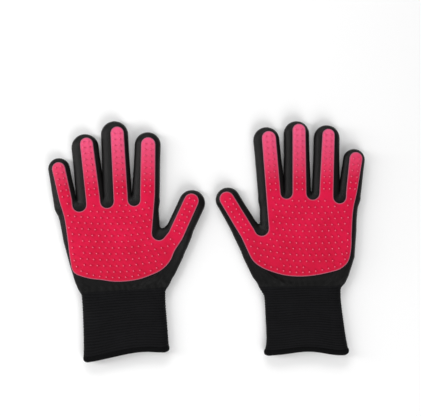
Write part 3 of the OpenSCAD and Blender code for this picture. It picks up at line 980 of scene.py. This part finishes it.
def caps(faces):
    """Faces that close the open loops of a cut piece."""
    half = {(a, b) for f in faces for a, b in zip(f, f[1:] + f[:1])}
    ahead = {b: a for a, b in half if (b, a) not in half}
    closing = []
    while ahead:
        start, here = next(iter(ahead.items()))
        loop = [start]
        ahead.pop(start)
        while here != start and here in ahead:
            loop.append(here)
            here = ahead.pop(here)
        closing.append(tuple(loop))
    return closing


# Materials. Stitch coordinates run from the middle of their map, 500 mm, which is the wrist.

RIB_STITCH = 0.7              # length of a stitch along the cuff
WRIST_SHADE = (513, 24)       # up to where the knit is darkest, and the length over which that fades
TIP_PAINTED_SHEEN = (606, 54)         # from where the pad is painted paler towards the tips, a painted reflection of the light, and over what length
HEEL_SHADE = (500, 55)        # up to where its heel is painted deepest, a painted shade, and the length over which that fades

class Number:
    """A socket that carries a number, so that arithmetic on it adds Math nodes."""

    def __init__(self, finish, socket):
        self.finish, self.socket = finish, socket

    def math(self, operation, *values, clamp=False):
        settings = {"operation": operation, "use_clamp": clamp}
        return self.finish.node("ShaderNodeMath", settings, dict(enumerate(values)))["Value"]

    def __add__(self, other): return self.math("ADD", self, other)
    def __sub__(self, other): return self.math("SUBTRACT", self, other)
    def __rsub__(self, other): return self.math("SUBTRACT", other, self)
    def __mul__(self, other): return self.math("MULTIPLY", self, other)
    def __truediv__(self, other): return self.math("DIVIDE", self, other)
    def __pow__(self, other): return self.math("POWER", self, other)
    def sin(self): return self.math("SINE", self)
    def abs(self): return self.math("ABSOLUTE", self)
    def wrapped(self): return self.math("FRACT", self)
    def clamped(self): return self.math("ADD", self, 0.0, clamp=True)


class Finish:
    """A material whose nodes are made by one method."""

    def __init__(self, name):
        self.material = bpy.data.materials.new(name)
        self.material.use_nodes = True
        self.tree = self.material.node_tree
        self.tree.nodes.clear()

    def node(self, kind, settings=None, sockets=None):
        made = self.tree.nodes.new(kind)
        for key, value in (settings or {}).items():
            setattr(made, key, value)
        for key, value in (sockets or {}).items():
            socket = made.inputs[key]
            if isinstance(value, Number):
                self.tree.links.new(value.socket, socket)
            elif isinstance(value, bpy.types.NodeSocket):
                self.tree.links.new(value, socket)
            else:
                socket.default_value = value
        return {s.name: Number(self, s) if s.type == "VALUE" else s for s in made.outputs if s.enabled}

    def mix(self, factor, a, b):
        settings = {"data_type": "RGBA", "clamp_factor": True}
        return self.node("ShaderNodeMix", settings, {0: factor, 6: a, 7: b})["Result"]

    def bump(self, strength, distance, height):
        sockets = {"Strength": strength, "Distance": distance, "Height": height}
        return self.node("ShaderNodeBump", {}, sockets)["Normal"]

    def surface(self, sockets):
        shader = self.node("ShaderNodeBsdfPrincipled", {}, sockets)
        self.node("ShaderNodeOutputMaterial", {}, {"Surface": shader["BSDF"]})
        return self.material


def colour(red, green, blue):
    """A colour from its screen values, 0 to 255."""
    def linear(c):
        c = c / 255
        return c / 12.92 if c <= 0.04045 else ((c + 0.055) / 1.055) ** 2.4
    return (linear(red), linear(green), linear(blue), 1)


def surface_run(finish):
    """The two stitch coordinates, in millimetres."""
    uv = finish.node("ShaderNodeUVMap", {"uv_map": "stitch"})["UV"]
    parts = finish.node("ShaderNodeSeparateXYZ", {}, {0: uv})
    return uv, parts["X"] * 1000, parts["Y"] * 1000


def grain(finish, uv, scale, detail):
    return finish.node("ShaderNodeTexNoise", {"noise_dimensions": "2D"},
                       {"Vector": uv, "Scale": scale, "Detail": detail})["Fac"]


def tones_of(finish):
    """What the mesh carries for its material: red for the heights of nubs and ridges, which the materials use
    for painted highlight and shade, green for the pad's edge.
    """
    tone = finish.node("ShaderNodeAttribute", {"attribute_name": "tone"})["Color"]
    return finish.node("ShaderNodeSeparateColor", {}, {0: tone})


def wave(value):
    """A wave between 0 and 1 for each whole step of a value."""
    return (value * (2 * math.pi)).sin() * 0.5 + 0.5


def knit_finish(name, base, light, wale, course, depth, roughness, shine):
    """Plain knit: columns of small V stitches, their raised parts painted lighter over darker hollows as
    painted highlight and shade, with random patches, darker and duller at the wrist.
    """
    finish = Finish(name)
    uv, across, along = surface_run(finish)
    column = (across / wale).wrapped() - 0.5
    lean = column.abs() * 0.9
    stitch = wave(along / course + lean)
    valley = 1 - (column.abs() * 2) ** 3
    height = stitch * 0.6 + valley * 0.5
    patches = grain(finish, uv, 60, 3)
    fuzz = grain(finish, uv, 900, 2)
    wrist = (1 - (along - WRIST_SHADE[0]) / WRIST_SHADE[1]).clamped()
    # raised stitches painted lighter and their hollows darker: painted highlight and shade; the patches and
    # fuzz are random tone
    lit = (height * 0.5 + patches * 0.5 + fuzz * 0.2 - wrist * 0.7 - 0.25).clamped()
    shade = finish.mix(lit, base, light)
    bump = finish.bump(0.4, depth, height + fuzz * 0.3)
    rough = (patches * 0.12 - fuzz * 0.06 + wrist * 0.2 + roughness).clamped()
    return finish.surface({"Base Color": shade, "Roughness": rough, "Specular IOR Level": shine,
                           "Normal": bump})


def silicone_finish():
    """Satin moulded silicone: crimson with a random mottle, painted paler towards the fingertips as a painted
    reflection and deeper at the heel as painted shade; nub tips painted pale as a painted highlight, darker
    towards the fingertips as painted shade; and a pale edge.
    """
    finish = Finish("silicone")
    uv, _, along = surface_run(finish)
    parts = tones_of(finish)
    nub, rim = parts["Red"], parts["Green"]
    mottle = grain(finish, uv, 45, 3)
    fine = grain(finish, uv, 700, 2)
    toward_tips = ((along - TIP_PAINTED_SHEEN[0]) / TIP_PAINTED_SHEEN[1]).clamped()
    low = (1 - (along - HEEL_SHADE[0]) / HEEL_SHADE[1]).clamped()
    body = finish.mix((mottle * 1.4 - 0.3).clamped(), colour(200, 6, 56), colour(222, 12, 70))
    # deeper crimson at the heel: painted shade
    body = finish.mix(low * 0.6, body, colour(186, 4, 44))
    # paler towards the fingertips: a painted reflection of the light over the tips
    body = finish.mix(toward_tips * 0.85, body, colour(238, 94, 138))
    body = finish.mix((rim * 2 - 0.3).clamped() * 0.85, body, colour(164, 98, 118))
    # nub colour: pale tips are a painted highlight, and the darker nubs towards the fingertips are painted
    # shade where their slopes miss the sheen
    nub_painted_light = finish.mix(toward_tips, colour(255, 128, 160), colour(196, 48, 96))
    body = finish.mix((nub * 2.2 - 1.3).clamped() * (toward_tips * -0.4 + 0.85), body, nub_painted_light)
    bump = finish.bump(0.2, 0.0002, fine)
    return finish.surface({"Base Color": body, "Roughness": (mottle * 0.12 - nub * 0.08 + 0.42).clamped(),
                           "Specular IOR Level": 0.2, "Subsurface Weight": 0.08,
                           "Subsurface Radius": (0.004, 0.001, 0.0012), "Subsurface Scale": 0.5,
                           "Normal": bump})


def cuff_finish(name, base, light, course):
    """Rib knit: fine stitches along the ridges, with the grooves painted darker as painted shade."""
    finish = Finish(name)
    uv, across, along = surface_run(finish)
    ridge = tones_of(finish)["Red"]
    threads = wave(across / course)
    rows = wave(along / RIB_STITCH)
    patches = grain(finish, uv, 50, 3)
    height = threads * 0.6 + rows * 0.3
    # ridges painted lighter and grooves darker: painted shade, with random patches
    shade = finish.mix((ridge * 0.6 + patches * 0.5 - 0.3).clamped(), base, light)
    bump = finish.bump(0.4, 0.0003, height)
    return finish.surface({"Base Color": shade, "Roughness": (patches * 0.14 + 0.55).clamped(),
                           "Specular IOR Level": 0.06, "Normal": bump})


def floor_finish():
    finish = Finish("pale_floor")
    place = finish.node("ShaderNodeTexCoord")["Object"]
    cloud = finish.node("ShaderNodeTexNoise", {}, {"Vector": place, "Scale": 3.0, "Detail": 2.0})["Fac"]
    shade = finish.mix(cloud, (0.93, 0.93, 0.93, 1), (0.96, 0.96, 0.96, 1))
    return finish.surface({"Base Color": shade, "Roughness": 0.7, "Specular IOR Level": 0.2})


# The pair

KNIT = knit_finish("hand_knit", colour(6, 6, 6), colour(24, 23, 23), 1.15, 0.95, 0.00022, 0.33, 0.16)
RIBS = cuff_finish("cuff_rib", colour(6, 6, 7), colour(26, 26, 28), 0.9)
BINDING = knit_finish("hem_binding", colour(9, 9, 10), colour(28, 28, 29), 0.9, 0.9, 0.00025, 0.5, 0.07)
SILICONE = silicone_finish()
WRIST_BEND = 16      # a length of cuff below the wrist, where a point is found that nothing uses
ROOT_BEND = 1.5      # how far past a root fold a point is found, which nothing uses
KNUCKLE_BEND = 9     # how far past a middle fold a point is found, which nothing uses


def finish_piece(piece, slot, *nodes):
    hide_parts(*nodes)


def bend_digit(glove, digit, lower, upper):
    first = THUMB_STUB if digit.name == "thumb" else ROOT_BEND
    cut = digit.cut * digit.slant
    knuckle = digit.knuckle * digit.slant
    start = max(cut, knuckle - KNUCKLE_BEND)
    at = [glove.world_point(digit.root + digit.square * d) for d in (first, cut, start, knuckle + KNUCKLE_BEND)]
    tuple(at[0])
    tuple(at[1])
    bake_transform(lower)
    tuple(at[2])
    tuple(at[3])
    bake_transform(upper)


for side in SIDES:
    glove = Glove(side)
    palm = knitted_palm(glove, KNIT)
    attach(palm, f"{side}_palm")
    finish_piece(palm, "hand_knit", f"{side}_palm_knit")
    pads = padded_pieces(glove, SILICONE)
    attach(pads["palm"], f"{side}_palm")
    finish_piece(pads["palm"], "silicone", f"{side}_palm_pad")
    for digit in glove.digits:
        stem = f"{side}_{digit.name}"
        lower, upper = knitted_digit(glove, digit, KNIT)
        pad_lower, pad_upper = pads[f"{digit.name}_lower"], pads[f"{digit.name}_upper"]
        for low, high, slot, kind in ((lower, upper, "hand_knit", "knit"),
                                      (pad_lower, pad_upper, "silicone", "pad")):
            bend_digit(glove, digit, low, high)
            finish_piece(low, slot, f"{stem}_base_{kind}")
            finish_piece(high, slot, f"{stem}_tip_{kind}")
    cuff = ribbed_cuff(glove, RIBS)
    glove.world_point((0, 0))
    glove.world_point((0, -WRIST_BEND))
    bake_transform(cuff)
    finish_piece(cuff, "cuff_rib", f"{side}_cuff")
    hem = rolled_hem(glove, BINDING)
    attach(hem, f"{side}_cuff")
    finish_piece(hem, "hem_binding", f"{side}_hem")


# Camera, floor and light

VIEW_MIDDLE = (0.0043, 0.034)    # the point straight below the camera
VIEW_WIDTH = 0.4378              # width of what it sees, at the gloves' middle height
CAMERA_HEIGHT = 1.1
SENSOR = 36.0

middle_height = glove.half * MM
lens = bpy.data.cameras.new("camera")
lens.sensor_width = SENSOR
lens.lens = SENSOR * (CAMERA_HEIGHT - middle_height) / VIEW_WIDTH
camera = added("camera", lens)
camera.location = (*VIEW_MIDDLE, CAMERA_HEIGHT)
bpy.context.scene.camera = camera

bm = bmesh.new()
bmesh.ops.create_grid(bm, x_segments=24, y_segments=24, size=1.8)
floor_mesh = bpy.data.meshes.new("pale_floor")
bm.to_mesh(floor_mesh)
bm.free()
floor_mesh.materials.append(floor_finish())
floor = added("pale_floor", floor_mesh)
floor.location = (0, 0, -0.0004)


def soft_light(name, place, aim, size, power):
    lamp = bpy.data.lights.new(name, "AREA")
    lamp.shape = "RECTANGLE"
    lamp.size, lamp.size_y = size
    lamp.energy = power
    holder = added(name, lamp)
    holder.location = place
    holder.rotation_euler = (Vector(aim) - Vector(place)).to_track_quat("-Z", "Y").to_euler()


soft_light("key", (0.45, -1.15, 1.15), (0, 0, 0), (1.0, 1.0), 15)
soft_light("flank", (-1.1, 0.15, 0.75), (0, 0.05, 0), (0.35, 1.2), 9)
soft_light("tips", (-0.2, 1.15, 1.0), (0, 0.1, 0), (1.2, 0.5), 8.5)
world = bpy.data.worlds.new("studio")
world.use_nodes = True
world.node_tree.nodes["Background"].inputs["Color"].default_value = (1, 1, 1, 1)
world.node_tree.nodes["Background"].inputs["Strength"].default_value = 0.32
bpy.context.scene.world = world
bpy.context.scene.view_settings.view_transform = "Standard"
